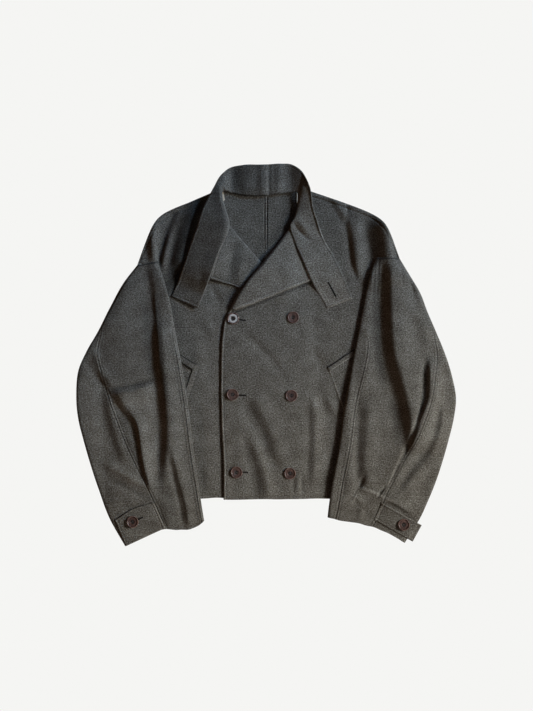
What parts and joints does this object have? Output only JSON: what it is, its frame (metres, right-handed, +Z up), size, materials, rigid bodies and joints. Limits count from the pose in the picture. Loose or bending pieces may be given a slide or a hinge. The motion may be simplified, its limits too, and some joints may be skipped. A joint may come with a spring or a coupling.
{
  "type": "cropped jacket",
  "caption": "Boxy cropped double-breasted wool jacket with a wide open collar, buttoned cuff tabs and slanted welt pockets, laid flat on its back with the front closed.",
  "frame": {"origin": "middle of the jacket's plan box, on the surface that it lies on", "axes": "+X to the wearer's left, +Y from hem to collar, +Z up out of the front"},
  "size_m": [0.6844, 0.6896, 0.0246],
  "materials": {
    "wool": "felted melange twill",
    "tape": "woven cotton tape",
    "horn": "polished horn"
  },
  "bodies": {
    "root": {"back_left": "wool", "back_right": "wool", "front_left": "wool", "front_right": "wool", "lapel_left": "wool", "lapel_right": "wool", "collar": "wool", "sleeve_left_top": "wool", "sleeve_left_under": "wool", "sleeve_right_top": "wool", "sleeve_right_under": "wool", "cuff_tab_left": "wool", "cuff_tab_right": "wool", "pocket_left": "wool", "pocket_right": "wool", "pocket_welt_left": "wool", "pocket_welt_right": "wool", "neck_tape_left": "tape", "neck_tape_right": "tape", "button_front_1": "horn", "button_front_2": "horn", "button_front_3": "horn", "button_front_4": "horn", "button_front_5": "horn", "button_front_6": "horn", "button_cuff_left": "horn", "button_cuff_right": "horn"}
  },
  "joints": []
}
